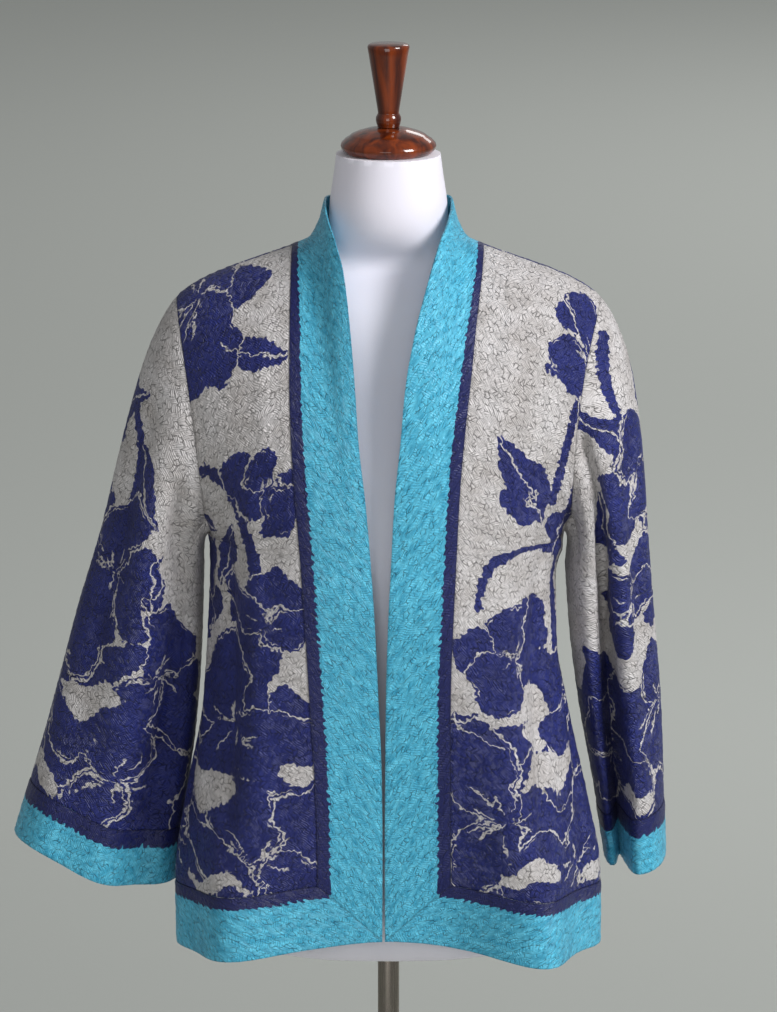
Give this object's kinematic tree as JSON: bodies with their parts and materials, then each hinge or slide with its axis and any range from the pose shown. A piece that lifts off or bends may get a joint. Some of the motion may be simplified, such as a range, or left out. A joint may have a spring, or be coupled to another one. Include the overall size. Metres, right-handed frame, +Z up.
{
  "type": "kimono jacket on a dress form",
  "caption": "Open-front kimono jacket with set-in wide sleeves, contrast front band, cuffs and hem border, worn on a limbless dress form with a neck cap, pole and round base.",
  "frame": {"origin": "the centre of the round base's flat underside, on the floor below the pole", "axes": "+Z up the pole; the jacket's front faces -Y; +X is the jacket's own left side"},
  "size_m": [0.6325, 0.33, 1.6015],
  "materials": {
    "printed_silk": "crinkled silk, silver-cream ground with a navy flower print",
    "turquoise_silk": "crinkled turquoise silk with a navy edge strip",
    "form_jersey": "smooth white stretch cover",
    "cherry_wood": "gloss varnished cherry",
    "steel": "satin"
  },
  "bodies": {
    "root": {"back": "printed_silk", "front_left": "printed_silk", "front_right": "printed_silk", "sleeve_left": "printed_silk", "sleeve_right": "printed_silk", "band_left": "turquoise_silk", "band_right": "turquoise_silk", "hem_front_left": "turquoise_silk", "hem_front_right": "turquoise_silk", "hem_back": "turquoise_silk", "cuff_left": "turquoise_silk", "cuff_right": "turquoise_silk", "dress_form": "form_jersey", "neck_cap": "cherry_wood", "finial": "cherry_wood", "pole": "steel", "base": "steel"}
  },
  "joints": []
}
